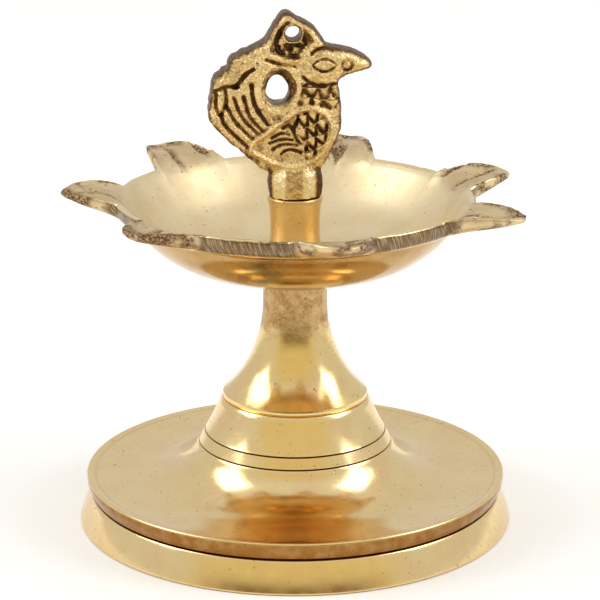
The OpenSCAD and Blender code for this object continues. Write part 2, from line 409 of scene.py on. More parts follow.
def cast_brass(name):
    """As-cast brass: brown patina in the recesses where the attribute is high, bright where it is low. On the
    collar the attribute carries painted highlight streaks and painted dark reflections.
    """
    s = Shader(name)
    patina_and_painted_light = s.attribute("patina_and_painted_light")
    grain = s.noise(0.36, detail=4, rough=0.8)
    patch = s.noise(1.9, detail=4, rough=0.65)
    mask = s.plus(patina_and_painted_light, s.times(s.minus(grain, 0.49), 2.0))
    mask = s.plus(mask, s.times(s.minus(patch, 0.44), 1.5))
    tone = s.mix(s.ramp(mask, 0.02, 0.46, 0.0, 0.84), s.mix(s.noise(4, detail=3), *CAST_WORN), CAST_BROWN)
    # Dark patina in deep recesses; on the collar's side facets this dark is painted dark reflection
    tone = s.mix(s.ramp(mask, 0.42, 0.82), tone, CAST_DARK)
    # Bright flecks, and the collar's painted highlight streaks
    tone = s.mix(s.ramp(mask, -0.75, -0.15, 1.0, 0.0), tone, CAST_FLECK_AND_HIGHLIGHT)
    pits = s.most(s.pits(0.9, 0.45, 0.15), s.pits(0.55, 0.22, 0.12))
    tone = s.mix(s.times(pits, 0.85), tone, PIT_BROWN)
    roughness = s.ramp(mask, -0.5, 0.6, 0.08, 0.42)
    height = s.plus(s.noise(0.85, detail=2), s.times(grain, 0.3))
    height = s.minus(height, s.times(pits, 0.5))
    return s.finish(tone, roughness, s.bump(height, 0.25, 1.0))


def plain_steel(name):
    s = Shader(name)
    cloud = s.ramp(s.noise(2.5, detail=4), 0.4, 0.7)
    roughness = s.ramp(s.noise(0.8, detail=3), 0.3, 0.7, 0.28, 0.46)
    tone = s.mix(cloud, (0.56, 0.55, 0.53), (0.36, 0.33, 0.30))
    return s.finish(tone, roughness, s.bump(s.noise(0.3), 0.02, 0.5))


def oiled_leather(name):
    s = Shader(name)
    grain = s.noise(0.35, detail=3)
    tone = s.mix(s.ramp(grain, 0.35, 0.65), (0.10, 0.045, 0.02), (0.20, 0.10, 0.05))
    return s.finish(tone, s.ramp(grain, 0.3, 0.7, 0.45, 0.7), s.bump(grain, 0.08, 0.8), metal=0.0)


def floor_white(name):
    """A pale floor with a slight glow, so that it comes out white under soft light."""
    s = Shader(name)
    tone = s.mix(s.ramp(s.noise(60, detail=2), 0.3, 0.7), (0.93, 0.93, 0.93), (0.90, 0.90, 0.90))
    s.bsdf.inputs["Emission Color"].default_value = (1, 1, 1, 1)
    s.bsdf.inputs["Emission Strength"].default_value = 0.16
    return s.finish(tone, s.ramp(s.noise(25), 0.3, 0.7, 0.7, 0.8), metal=0.0)


def add_piece(obj, node, body, material):
    """Gives a finished piece its material and body, and hides the CAD node that it replaces."""
    obj.data.materials.append(material)
    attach(obj, body)
    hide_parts(node)


# ---------------- turned pieces
# Heights of the two lines turned into the bell
LOW_LINE_Z, HIGH_LINE_Z = 15.6, 17.75


def base_profile():
    """Foot, groove, drip plate, bell with its two lines, shoulder and spigot, and the hollow inside."""
    plate_r, plate_z = FOOT_R - 1.4, 9.65
    spigot_r, spigot_top = 9.0, SHOULDER_Z + 1.8
    hole_r, crown_z = ROD_R + 0.3, SHOULDER_Z - 4.2
    floor_z = 6.6
    outside = [(FOOT_R - 0.2, 0, 0.1), (FOOT_R, 0.22, 0.15)]
    outside += curve((FOOT_R - 0.05, 0.5), (FOOT_R - 0.75, 2.9), (FOOT_R - 2.05, 5.6))
    outside += [(FOOT_R - 2.25, 5.92, 0.2), (FOOT_R - 2.75, 6.12, 0.1), (plate_r - 0.85, 6.4, 0.2)]
    outside += curve((plate_r - 0.7, 6.75), (plate_r - 0.02, 8.0), (plate_r, plate_z - 0.45), 10)
    outside += curve((plate_r - 0.02, plate_z - 0.3), (plate_r - 0.2, plate_z + 0.12),
                     (plate_r - 0.75, plate_z - 0.05), 6)
    outside += curve((plate_r - 1.1, plate_z - 0.18), (37.5, 8.95), (33.0, 8.85))
    outside += curve((31.0, 8.8), (22.6, 8.85), (19.2, LOW_LINE_Z - 0.35), 36)
    outside += [(19.02, LOW_LINE_Z - 0.12), (18.66, LOW_LINE_Z, 0.06), (18.86, LOW_LINE_Z + 0.16)]
    outside += [(17.86, HIGH_LINE_Z - 0.14), (17.42, HIGH_LINE_Z, 0.06), (17.62, HIGH_LINE_Z + 0.14)]
    outside += curve((17.45, 18.15), (15.8, 21.0), (14.75, SHOULDER_Z - 0.75), 20)
    outside += [(14.25, SHOULDER_Z, 0.15), (spigot_r, SHOULDER_Z), (spigot_r, spigot_top, 0.3),
                (hole_r, spigot_top, 0.2)]
    inside = [(hole_r, crown_z, 0.2), (10.8, crown_z)]
    inside += curve((11.6, crown_z - 0.6), (13.6, 17.5), (15, 14))
    inside += curve((15.6, 12.6), (18.5, floor_z), (27, floor_z), 20)
    inside += [(36.6, floor_z, 0.4), (37.4, 5.6, 0.4)]
    inside += curve((38, 4.6), (38.8, 2.6), (39.8, 0.3))
    inside += [(39.9, 0, 0.2)]
    return rounded(outside + inside)


def edge_painted_shade(obj):
    """Painted light: 1 (painted shade) in the groove under the plate and the turned lines, about half on both
    edges, which are the plate's edge band (painted dark reflection) and the foot's bottom edge (painted
    shade), 0 where polished.
    """
    groove_z = 6.2
    x, y, z = points_of(obj).T
    r = np.hypot(x, y)
    outer = step(FOOT_R - 3.6, FOOT_R - 3.1, r)
    edge = 0.5 * step(6.0, 6.4, z) * step(9.5, 9.1, z) * outer
    under_plate = step(0.32, 0.12, np.abs(z - groove_z)) * outer
    foot_edge = 0.6 * step(0.3, 0.1, z) * step(FOOT_R - 0.6, FOOT_R - 0.4, r)
    off_line = np.minimum(np.abs(z - LOW_LINE_Z), np.abs(z - HIGH_LINE_Z))
    lines = step(0.10, 0.04, off_line) * step(17.0, 17.3, r) * step(19.3, 19.1, r)
    return np.maximum.reduce([edge, under_plate, foot_edge, lines])


def stem_profile():
    """Lip, flare and neck, with a small bead below its top, and the hole for the long stud inside."""
    lip_r, neck_r, recess_r = 14.2, 6.2, 9.05
    bead_r = neck_r + 0.14
    points = [(lip_r - 0.12, SHOULDER_Z, 0.2), (lip_r + 0.02, SHOULDER_Z + 0.55, 0.3)]
    points += curve((lip_r - 0.12, SHOULDER_Z + 1.15), (10.25, 29.1), (8.3, 33.9), 30)
    points += curve((8.2, 34.2), (neck_r + 0.05, 38.9), (neck_r, 44), 30)
    points += [(neck_r, NECK_Z - 1.9, 0.3), (bead_r, NECK_Z - 1.3, 0.3), (bead_r, NECK_Z - 0.4, 0.3),
               (neck_r - 0.2, NECK_Z, 0.2), (ROD_R, NECK_Z), (ROD_R, 36), (5.5, 31),
               (recess_r, SHOULDER_Z + 2.2), (recess_r, SHOULDER_Z)]
    return rounded(points)


def post_profile():
    """Foot, waist and head, bored from below for the long stud and from above for the short one."""
    waist_r, bore_r, top_bore_r = 4.75, ROD_R + PLAY, STUD_R + PLAY
    rod_top, stud_low = float(high_mm("tie_rod")[2]) + 0.6, float(low_mm("finial_stud")[2]) - 0.2
    points = [(bore_r, POST_Z), (6.1, POST_Z, 0.2), (6.3, POST_Z + 0.5, 0.3), (6.2, POST_Z + 1.0, 0.3)]
    points += curve((5.9, POST_Z + 1.5), (waist_r + 0.1, POST_Z + 2.8), (waist_r, POST_Z + 6), 20)
    points += curve((waist_r, POST_Z + 7), (waist_r, 62), (5.12, 63.5), 20)
    points += [(5.28, 63.9, 0.3), (5.3, POST_TOP_Z - 0.25, 0.2), (5.05, POST_TOP_Z, 0.1),
               (top_bore_r, POST_TOP_Z), (top_bore_r, stud_low), (0, stud_low), (0, rod_top),
               (bore_r, rod_top)]
    return rounded(points)


def washer_profile(node, r_in, rim):
    low, high = low_mm(node), high_mm(node)
    r_out = float(high[0])
    return rounded([(r_in, low[2], rim), (r_out, low[2], rim), (r_out, high[2], rim), (r_in, high[2], rim)])


def threaded(name, node, pitch, depth):
    """A stud with a true helical V thread and chamfered ends."""
    steps, rings_per_turn = 64, 10
    chamfer_length, chamfer_depth = 0.5, 0.62
    low, high, r = float(low_mm(node)[2]), float(high_mm(node)[2]), float(high_mm(node)[0])
    z = np.linspace(low, high, int((high - low) / pitch * rings_per_turn) + 1)[:, None]
    a = np.arange(steps)[None, :] * 2 * math.pi / steps
    turn = (z / pitch - a / (2 * math.pi)) % 1
    cut = depth * np.clip(1.25 - np.abs(turn - 0.5) * 2.5, 0, 1)
    chamfer = np.clip(np.minimum(z - low, high - z) / chamfer_length, 0, 1)
    radius = np.minimum(r - cut, r - chamfer_depth * (1 - chamfer)) + 0 * a
    radius[[0, -1]] = r - chamfer_depth
    rings = np.stack([radius * np.cos(a), radius * np.sin(a), z + 0 * a], -1)
    ends = [np.stack([0 * a[0], 0 * a[0], v + 0 * a[0]], -1)[None] for v in (low, high)]
    return skin(name, np.concatenate([ends[0], rings, ends[1]]), weld=True, sharp_deg=50)


def hex_nut(name, node):
    """A hexagon nut whose corners are turned off at both ends."""
    low, high = low_mm(node), high_mm(node)
    flat = float(high[1] - low[1]) / 2
    corner = flat / math.cos(math.radians(30))
    steps = 144
    a = np.arange(steps) * 2 * math.pi / steps
    hexagon = flat / np.cos((a + math.pi / 6) % (math.pi / 3) - math.pi / 6)
    bore, face_r, height = ROD_R + PLAY, flat - 0.1, float(high[2] - low[2])
    cap = [(0, face_r), (0.25, face_r + 0.43), (0.5, face_r + 0.86), (0.75, corner)]
    outside = cap + [(height / 2, corner)] + [(height - z, r) for z, r in reversed(cap)]
    rings = [(np.minimum(hexagon, r), z) for z, r in outside]
    inside = [(0.45, height), (0, height - 0.4), (0, 0.4), (0.45, 0)]
    rings += [(a * 0 + bore + wider, z) for wider, z in inside]
    made = [np.stack([r * np.cos(a), r * np.sin(a), float(low[2]) + z + 0 * a], -1) for r, z in rings]
    return skin(name, made, sharp_deg=25)


# ---------------- the dish
REACH = 10.4
# Each spout: direction in degrees, share of REACH, curl of its edges, half width at the rim in degrees,
# rise of its middle, and how much more the edge away from the camera is turned up than the near one
SPOUTS = [
    (20, 1.0, 1.2, 13.5, 1.1, 0.5), (75.5, 1.02, 1.3, 14, 1.9, 0.1), (129.5, 1.02, 1.4, 14.5, 2.0, 0.0),
    (181, 0.97, 1.1, 12.5, 1.1, 0.75), (228, 0.95, 0.6, 14, 1.0, 0.3), (282, 0.84, 0.45, 14, 0.95, 0.0),
    (336, 1.14, 0.7, 13.5, 0.4, 0.2)
]
# Each ring: radius, height, share of the reach, of the rise, of the curl, thinning towards the tip
DISH_RINGS = [
    (7, DISH_Z, 0, 0, 0, 0), (13, 49.8, 0, 0, 0, 0), (19, 51.3, 0, 0, 0, 0), (24, 53.4, 0, 0, 0, 0),
    (28, 56.4, 0, 0, 0, 0), (30.4, 59.2, 0, 0, 0, 0), (31.5, 60.9, 0, 0, 0, 0), (32.2, 61.25, 0, 0, 0, 0),
    (33.3, 61.4, 0.05, 0, 0, 0), (33.85, 61.9, 0.3, 0.3, 0.2, 0.2), (34.2, 62.4, 0.7, 0.7, 0.6, 0.5),
    (34.45, 63.1, 0.95, 1, 0.9, 0.7), (34.5, 63.8, 0.99, 1, 0.97, 0.4), (34.5, 64.45, 1, 1, 1, 0.1),
    (34.3, 64.8, 0.99, 1, 1, 0), (33.8, 64.9, 0.95, 1, 0.95, 0), (33.2, 64.6, 0.85, 1, 0.75, 0.05),
    (32.75, 64.2, 0.63, 0.97, 0.5, 0.25), (32.3, 63.8, 0.4, 0.9, 0.3, 0.45),
    (31.8, 63.2, 0.22, 0.6, 0.1, 0.5), (31.2, 62.4, 0.1, 0.3, 0, 0.25), (29, 59.8, 0, 0, 0, 0),
    (26, 57, 0, 0, 0, 0), (22, 54.7, 0, 0, 0, 0), (17, 52.7, 0, 0, 0, 0), (12, 51.55, 0, 0, 0, 0),
    (8, FLOOR_Z, 0, 0, 0, 0)
]
# The rings in that list, counted from 1, where the rim's outer side begins and where the inside begins
SIDE_FROM, INNER_FROM = 9, 14
# Rough hollows where the casting was left as it came: x, y, length, width, turn in degrees, depth
POCKETS = [
    (-19.6, 34.0, 4.2, 1.7, 118, 0.85), (32.2, 18.6, 3.4, 1.3, 30, 0.6), (9.2, 35.6, 2.8, 1.8, 75, 0.7),
    (33.4, -16.4, 2.6, 0.6, -28, 0.45), (28.6, -18.0, 3.8, 0.9, -42, 0.3),
    (-19.4, -31.4, 4.6, 0.8, 25, 0.4), (-4.0, -34.0, 5.0, 0.9, 5, 0.35), (11.5, -34.2, 2.6, 1.0, 10, 0.3),
    (-31.0, 17.4, 2.0, 0.9, 60, 0.3)
]
# The painted green reflection under the bowl: its x, and its distance from the axis
GREEN_REFLECTION_AT = (-5.5, 27.5)


def dish_directions():
    """Angles in degrees, closer over the spouts, with the spout each is on and its place across it."""
    angles, spout, across = [], [], []
    for k, s in enumerate(SPOUTS):
        following = SPOUTS[(k + 1) % len(SPOUTS)]
        low = s[0] + s[3]
        high = following[0] - following[3] + (360 if k == len(SPOUTS) - 1 else 0)
        u = np.linspace(-1, 1, 117)[:-1]
        gap = np.linspace(low, high, int((high - low) / 0.62) + 2)[:-1]
        angles += [s[0] + u * s[3], gap]
        spout += [np.full(len(u), k), np.full(len(gap), k)]
        across += [u, np.ones(len(gap))]
    return np.concatenate(angles), np.concatenate(spout), np.concatenate(across)


def pocket_depths(x, y):
    """Depth in mm of the cast hollows at each place, and how far each place is inside one (0 to 1)."""
    depth, inside = 0 * x, 0 * x
    for px, py, length, width, turn, deep in POCKETS:
        c, s = math.cos(math.radians(turn)), math.sin(math.radians(turn))
        along, over = (x - px) * c + (y - py) * s, -(x - px) * s + (y - py) * c
        q = (along / length) ** 2 + (over / width) ** 2 + 0.5 * noise(x, y, 0 * x, 1.6, layers=2)
        here = step(1.25, 0.55, q)
        depth, inside = np.maximum(depth, deep * here), np.maximum(inside, here)
    return depth, inside


def dish():
    """The bowl's rings drawn out along the spouts, then roughened where the casting was left as it came."""
    a, spout, across = dish_directions()
    table = np.array(SPOUTS)[spout]
    centre, share_of_reach, curl, rise, tilt = (table[:, k] for k in (0, 1, 2, 4, 5))
    u = np.abs(across)
    f = (1 - u * u) ** 1.6
    between = 3
    rows = smooth_path(DISH_RINGS, n=between)
    rows = np.concatenate([[(ROD_R + PLAY, DISH_Z, 0, 0, 0, 0)], rows, [(ROD_R + PLAY, FLOOR_Z, 0, 0, 0, 0)]])
    r0, z0, share, rises, curls, thin = (rows[:, i][:, None] for i in range(6))
    number = np.arange(len(rows))[:, None] / between + 0 * a
    out = share * REACH * share_of_reach * f
    near_side = np.where(np.cos(np.radians(centre)) > 0, -across, across) > 0
    lift = curl * np.sin(math.pi * u**1.4) * np.where(near_side, 1 - tilt, 1 + 0.3 * tilt)
    r = r0 + out
    z = z0 + (rises * rise + thin) * f + curls * lift
    rad = np.radians(a)
    x, y = r * np.cos(rad), r * np.sin(rad)
    share = share + 0 * a
    inner = step(INNER_FROM - 0.5, INNER_FROM + 1.0, number)
    side = step(SIDE_FROM - 0.5, SIDE_FROM + 0.5, number) * (1 - inner)
    edge = step(0.75, 0.95, share)
    on_spout = step(0.4, 2.0, out)
    # A dark crease runs along each spout's middle. There are 57.3 degrees in a radian.
    bend = 0.12 * np.sin(out * 0.5 + spout * 1.7) - 0.08
    off_crease = (across + bend) * 13.5 / 57.3 * r
    crease = np.exp(-((off_crease / 0.65) ** 2)) * step(0.8, 2.6, out) * inner
    crease = crease * (1 - step(0.90, 0.98, share)) * (0.6 + 0.7 * step(-0.3, 0.3, noise(x, y, z, 2.1)))
    hollow, inside = pocket_depths(x, y)
    rough = np.clip(np.maximum(inside, 1.5 * crease), 0, 1)
    patchy = step(-0.32, 0.22, noise(x, y, z, 3.0) + 0.45 * noise(x, y, z, 0.9))
    fine = noise(x, y, z, 0.75, layers=2)
    z = z + noise(x, y, z * 0, 11.0) * 0.18 * edge - inner * hollow - crease * 0.75
    z = z + inner * rough * fine * 0.32 + fine * 0.05 * on_spout
    z = z + noise(x, y, z * 0, 1.6, layers=2) * 0.07 * edge
    r = r + noise(y, x, z, 7.0) * 0.2 * edge + fine * side * (0.05 + 0.16 * patchy * on_spout)
    x, y = r * np.cos(rad), r * np.sin(rad)
    obj = skin("oil_dish", np.stack([x, y, z], -1), sharp_deg=50)
    mottle = noise(x, y, z, 4.0) * 0.5 + noise(x, y, z, 1.2) * 0.3
    between_spouts = 1 - step(0.6, 2.8, out / np.maximum(share, 0.3) + 2 * mottle)
    # Where the painted green reflection lies under the bowl
    off_green_reflection = ((x - GREEN_REFLECTION_AT[0]) / 4.5) ** 2 + ((np.hypot(x, y) - GREEN_REFLECTION_AT[1]) / 4.0) ** 2
    masks = {"grit": np.maximum(inner * rough, np.maximum(side, edge) * on_spout * patchy),
             "filed": side * between_spouts * step(INNER_FROM + 0.3, INNER_FROM - 0.6, number),
             "spout": on_spout * np.maximum(inner, side),
             "satin": step(INNER_FROM + 1, INNER_FROM + 4, number) * (1 - on_spout),
             # under: the underside, where the painted shade and dark reflection go
             "under": step(SIDE_FROM - 0.4, SIDE_FROM - 0.8, number),
             "green_reflection": np.exp(-off_green_reflection) * (y < 0) * (1 - inner)}
    for name, values in masks.items():
        set_attribute(obj, name, values.ravel())
    return obj


# ---------------- the peacock
# Outlines and grooves are in mm as the lamp's front is seen: x to the right and z up
BIRD_OUTLINE = [
    (4.4, 70.6), (6.6, 73.4), (8.3, 76.6), (8.8, 80.3), (8.5, 84.5), (8.2, 87.0), (9.4, 88.3), (12.4, 89.1),
    (14.0, 89.6), (14.5, 90.4), (13.9, 91.3), (12.4, 92.4), (9.5, 93.5), (6.3, 94.2), (5.1, 95.6),
    (3.2, 97.9), (0.6, 99.4), (-1.9, 100.6), (-4.1, 98.4), (-5.5, 95.6), (-6.8, 94.6), (-9.2, 93.5),
    (-11.0, 92.8), (-12.5, 91.7), (-13.1, 90.1), (-14.1, 89.5), (-15.6, 88.0), (-16.3, 86.2), (-16.3, 84.6),
    (-16.7, 83.0), (-16.6, 80.4), (-15.6, 78.6), (-13.2, 76.2), (-11.4, 74.6), (-8.6, 72.2), (-5.2, 70.0)
]
LOOP_OUTLINE = [(-1.9, 83.2), (-0.3, 84.9), (0, 87), (-1.6, 89.4), (-3.6, 89.7), (-5.1, 87.9), (-5.7, 85.3),
                (-4.4, 83.1)]
LOOP_THROAT = [(-2.6, 83.0), (-1.5, 84.4), (-1.3, 86.2), (-2.5, 88.1), (-3.9, 88.5), (-5.2, 87.3),
               (-5.7, 85.3), (-4.7, 83.1)]
CREST = [(-5.4, 92.6), (-5.3, 95.2), (-4.2, 97.7), (-1.8, 99.9), (0.8, 98.9), (2.8, 97.5), (4.7, 95.2),
         (5.2, 94.2), (2.9, 93.8), (1.6, 92.2), (0.2, 91.2), (-2.4, 91.2)]
CREST_HOLLOW = [(-3.7, 94.3), (-2.1, 94.7), (0.4, 94.9), (2.2, 93.4), (0.6, 91.8), (-2.1, 92.2),
                (-3.7, 93.1)]
HEAD = [(2.2, 92.9), (3.0, 93.8), (4.9, 94.3), (8.0, 93.9), (11.8, 92.6), (14.8, 90.6), (13.0, 89.5),
        (9.2, 88.4), (8.0, 87.6), (5.5, 87.1), (2.9, 87.4), (1.2, 88.7), (0.5, 90.2), (1.4, 91.6)]
WING = [(-7.9, 75.0), (-4.6, 77.6), (-2.1, 79.5), (0.4, 81.2), (2.4, 81.7), (4.4, 81.2), (5.7, 79.9),
        (6.1, 78.1), (5.6, 75.9), (4.3, 73.9), (2.2, 72.4), (-0.8, 71.7), (-3.6, 72.3), (-6.1, 73.5)]
TAIL_GROOVES = [
    [(-8.4, 87.0), (-7.8, 83.3), (-5.4, 79.4)], [(-9.9, 84.8), (-8.7, 80.9), (-6.0, 77.9)], [(-11.7, 84.6),
    (-10.2, 80.9), (-7.0, 77.3)], [(-13.1, 82.9), (-11.2, 79.7), (-7.7, 76.1)], [(-14.1, 81.3),
    (-13.2, 79.1), (-8.9, 74.8)], [(-15.3, 85.8), (-13.2, 86.7), (-11.0, 86.7)], [(-11.6, 86.6),
    (-10.5, 87.8), (-9.4, 89.1), (-8.0, 90.0)], [(-15.0, 85.2), (-15.1, 82.9), (-14.3, 81.4), (-13.2, 83.6),
    (-13.3, 86.0)]
]
HEAD_GROOVES = [
    [(2.9, 92.7), (3.8, 93.5), (5.3, 93.8), (6.9, 93.3)], [(1.3, 88.4), (2.9, 87.1), (5.5, 86.7),
    (7.9, 87.1)], [(-5.6, 91.8), (-3.4, 91.0), (-0.2, 90.4)], [(1.4, 95.9), (2.2, 93.6)], [(-3.1, 97.0),
    (-3.7, 94.4)]
]
WING_GROOVES = [
    [(-4.9, 76.6), (-3.1, 77.6), (-1.1, 77.3)], [(-5.4, 75.5), (-3.1, 76.3), (-0.6, 76.3)], [(-4.7, 74.4),
    (-2.4, 75.3), (0.1, 75.0)], [(-3.1, 73.4), (-1.4, 74.2), (0.9, 73.8)], [(-2.6, 78.5), (-1.4, 78.9),
    (-0.4, 78.5)], [(0.0, 80.2), (-0.1, 78.0), (0.4, 75.6), (2.6, 74.2)]
]
EYE, EYE_HALF = (5.3, 90.7), (2.25, 1.2)
NOSTRIL, NOSTRIL_R = (9.6, 90.6), 0.95
HANG_HOLE, HANG_R = (-0.5, 96.5), 1.45
# Half the bird's thickness, its turn on the post, and the grid on which its solid is sampled
BIRD_HALF = 3.5
BIRD_YAW = math.radians(4)
BIRD_CELL = 0.172
BIRD_X, BIRD_Y, BIRD_Z = (-17.4, 15.2), (-6.4, 6.4), (POST_TOP_Z - 0.6, 101.4)
# Heights and half widths of the collar's faces, and its top
COLLAR_Z = [POST_TOP_Z, POST_TOP_Z + 0.6, 67.4, 69.4, 70.4, 71.4, 72.8, 74.5]
COLLAR_HALF = [4.7, 4.95, 5.2, 5.0, 4.6, 4.0, 3.0, 1.5]
COLLAR_TOP_Z = 74.0


def distance_to(x, z, path, closed=False):
    """Distance from each point to a line of straight pieces."""
    ends = np.roll(path, -1, 0) if closed else path[1:]
    best = np.full(x.shape, 1e9)
    for (ax, az), (bx, bz) in zip(path, ends):
        dx, dz = bx - ax, bz - az
        t = np.clip(((x - ax) * dx + (z - az) * dz) / max(dx * dx + dz * dz, 1e-12), 0, 1)
        best = np.minimum(best, (x - ax - t * dx) ** 2 + (z - az - t * dz) ** 2)
    return np.sqrt(best)


def signed_distance(x, z, loop):
    """Distance to a closed outline, negative inside it."""
    inside = np.zeros(x.shape, bool)
    for (ax, az), (bx, bz) in zip(loop, np.roll(loop, -1, 0)):
        if az != bz:
            inside ^= ((az > z) != (bz > z)) & (x < (bx - ax) * (z - az) / (bz - az) + ax)
    return np.where(inside, -1, 1) * distance_to(x, z, loop, closed=True)


def outline_distance(x, z, outline):
    """Distance to the smooth curve through an outline's points, negative inside it."""
    return signed_distance(x, z, smooth_path(outline, closed=True))


def smooth_max(a, b, k):
    """The larger of two distances, with the corner between them rounded over k mm."""
    h = np.clip(0.5 + 0.5 * (a - b) / k, 0, 1)
    return b + (a - b) * h + k * h * (1 - h)


def groove(d, width, depth):
    """Height of a rounded groove at distance d from its middle."""
    return -depth * np.exp(-((d / width) ** 2))


def line_groove(x, z, path, width, depth):
    """A groove along the smooth curve through a path's points."""
    return groove(distance_to(x, z, smooth_path(path)), width, depth)


def scales(x, z, wide, tall):
    """Overlapping scale shapes: 0 on their outlines, rising to 1 in the middle of each."""
    row = np.floor(z / tall)
    u = (x / wide + 0.5 * (row % 2)) % 1 - 0.5
    v = z / tall - row
    lower = np.abs(2 * u) ** 1.5 * 0.75
    return np.minimum(np.abs(v - lower), np.minimum(v - lower + 1, 1)) * (1.15 - np.abs(u))


# These four functions change the height h in place
def shape_crest(h, x, z):
    """A raised border, a sunken field that leaves a ring about the hole, and a rough hollow."""
    crest = outline_distance(x, z, CREST)
    off_hole = np.hypot(x - HANG_HOLE[0], z - HANG_HOLE[1])
    h += 0.42 * np.exp(-(((crest + 0.45) / 0.42) ** 2))
    h -= 0.55 * step(-0.8, -1.35, crest) * step(HANG_R + 0.2, HANG_R + 0.8, off_hole)
    hollow = outline_distance(x, z, CREST_HOLLOW)
    h -= step(0.15, -0.4, hollow) * (0.55 + 0.75 * noise(x, 0 * x, z, 0.8))


def shape_head(h, x, z):
    """The domed head with its eye, its nostril and the grooves about it. Returns the distance to the head."""
    head = outline_distance(x, z, HEAD)
    h += 0.70 * step(0.2, -2.3, head)
    e = np.abs(z - EYE[1]) / EYE_HALF[1] + ((x - EYE[0]) / EYE_HALF[0]) ** 2 - 1
    h += groove(e * EYE_HALF[1], 0.24, 0.5) + 0.2 * step(0, -0.9, e)
    spot = np.hypot(x - NOSTRIL[0], z - NOSTRIL[1])
    h += groove(spot - NOSTRIL_R, 0.30, 0.7) - 0.35 * step(0.95, 0.2, spot)
    for path in HEAD_GROOVES:
        h += line_groove(x, z, path, 0.3, 0.55)
    return head


def shape_wing(h, x, z, bent_x, bent_z):
    """The sunken wing in its border, scaled in front and feathered behind. Returns the distance to it."""
    wing = outline_distance(x, z, WING)
    in_wing = step(0.05, -0.3, wing)
    h += 0.66 * np.exp(-(((wing - 0.62) / 0.44) ** 2)) * (1 - in_wing)
    h -= 0.62 * in_wing
    scaled = in_wing * step(0.2, 1.2, x + 0.25 * (z - 77))
    along, across = bent_x * 0.9 + bent_z * 0.35 + 0.6, bent_z * 0.9 - bent_x * 0.35
    h += scaled * (np.clip(scales(along, across, 2.05, 2.2) * 2.2, 0, 1) - 0.5)
    for path in WING_GROOVES:
        h += in_wing * (0.1 + line_groove(bent_x, bent_z, path, 0.3, 0.6))
    return wing


def shape_tail(h, x, z, wing, loop):
    """Long tail feathers behind the wing, and the rough plume above them."""
    tail_line = 77.8 + 0.83 * (x + 5.5)
    tail = step(1.35, 1.75, wing) * step(0.4, 1.2, loop) * step(-4.0, -5.6, x)
    tail = tail * step(-0.6, 0.8, z - tail_line)
    for path in TAIL_GROOVES:
        h += line_groove(x, z, path, 0.40, 0.74) * (0.35 + 0.65 * tail) + 0.06 * tail
    plume = step(86.5, 88, z) * step(-5.6, -6.8, x)
    h += plume * 0.28 * noise(x, 0 * x, z, 1.0, layers=2)


def relief(x, z):
    """Half thickness of the bird at each point, and the distances to its outline, its loop and the throat."""
    edge = outline_distance(x, z, BIRD_OUTLINE)
    loop = outline_distance(x, z, LOOP_OUTLINE)
    zero = 0 * x
    tail_side = step(-6, -9, x)
    edge = edge + 0.17 * noise(x, zero, z, 1.2, layers=2)
    edge = edge + tail_side * 0.16 * np.abs(np.sin(z * 1.9 + x * 0.7))
    h = BIRD_HALF - 0.95 * np.exp(np.minimum(edge, 0) / 1.1)
    bent_x, bent_z = x + 0.55 * noise(x, zero, z, 2.6), z + 0.55 * noise(z, zero, x, 2.3)
    shape_crest(h, x, z)
    head = shape_head(h, x, z)
    wing = shape_wing(h, x, z, bent_x, bent_z)
    shape_tail(h, x, z, wing, loop)
    neck = step(0.25, 0.9, head) * step(1.25, 1.7, wing) * step(-0.2, 1.4, x) * step(0.6, 1.4, loop)
    neck = neck * step(88.3, 87, z) * step(81.5, 82.6, z)
    h += neck * (np.clip(scales(bent_x + 0.9, bent_z + 0.4, 2.5, 2.35) * 1.8, 0, 1) - 0.75)
    # A raised band about the loop, then the grain of the casting
    band = np.exp(-(((loop - 1.2) / 0.7) ** 2))
    h += 0.32 * band * step(1.0, -2.0, x)
    h += 0.12 * noise(x, zero, z, 0.6, layers=2) + 0.12 * noise(x, zero + 9, z, 2.2)
    return h, edge, loop, outline_distance(x, z, LOOP_THROAT)


def surface_net(field, origin, cell):
    """Points and quads of the surface where the field crosses zero (naive surface nets)."""
    sign = field < 0
    corner = [(i, j, k) for i in (0, 1) for j in (0, 1) for k in (0, 1)]
    shape = tuple(n - 1 for n in field.shape)

    def part(values, c):
        return values[c[0]:c[0] + shape[0], c[1]:c[1] + shape[1], c[2]:c[2] + shape[2]]

    count = sum(part(sign, c).astype(np.int8) for c in corner)
    active = np.nonzero((count > 0) & (count < 8))
    number = np.full(shape, -1, np.int64)
    number[active] = np.arange(len(active[0]))
    at_corner = {c: part(field, c)[active] for c in corner}
    total, crossings = np.zeros((len(active[0]), 3)), np.zeros(len(active[0]))
    for c in corner:
        for axis in range(3):
            if c[axis]:
                continue
            other = tuple(v + (k == axis) for k, v in enumerate(c))
            a, b = at_corner[c], at_corner[other]
            cross = (a < 0) != (b < 0)
            t = np.where(cross, a / np.where(cross, a - b, 1), 0)
            place = np.stack([np.full(len(a), float(v)) for v in c], -1)
            place[:, axis] += t
            total += place * cross[:, None]
            crossings += cross
    points = np.stack(active, -1) + total / crossings[:, None]
    quads = []
    for axis in range(3):
        u, v = [k for k in range(3) if k != axis]
        here = np.take(sign, range(field.shape[axis] - 1), axis)
        there = np.take(sign, range(1, field.shape[axis]), axis)
        cross = np.stack(np.nonzero(here != there), -1)
        inside = (cross[:, u] > 0) & (cross[:, v] > 0) & (cross[:, u] < shape[u]) & (cross[:, v] < shape[v])
        cross = cross[inside]
        ring = []
        for du, dv in ((1, 1), (0, 1), (0, 0), (1, 0)):
            cell_at = cross.copy()
            cell_at[:, u] -= du
            cell_at[:, v] -= dv
            ring.append(number[tuple(cell_at.T)])
        quad = np.stack(ring, -1)
        flip = here[tuple(cross.T)] == (axis != 1)
        quads.append(np.where(flip[:, None], quad, quad[:, ::-1]))
    return points * cell + origin, np.concatenate(quads)


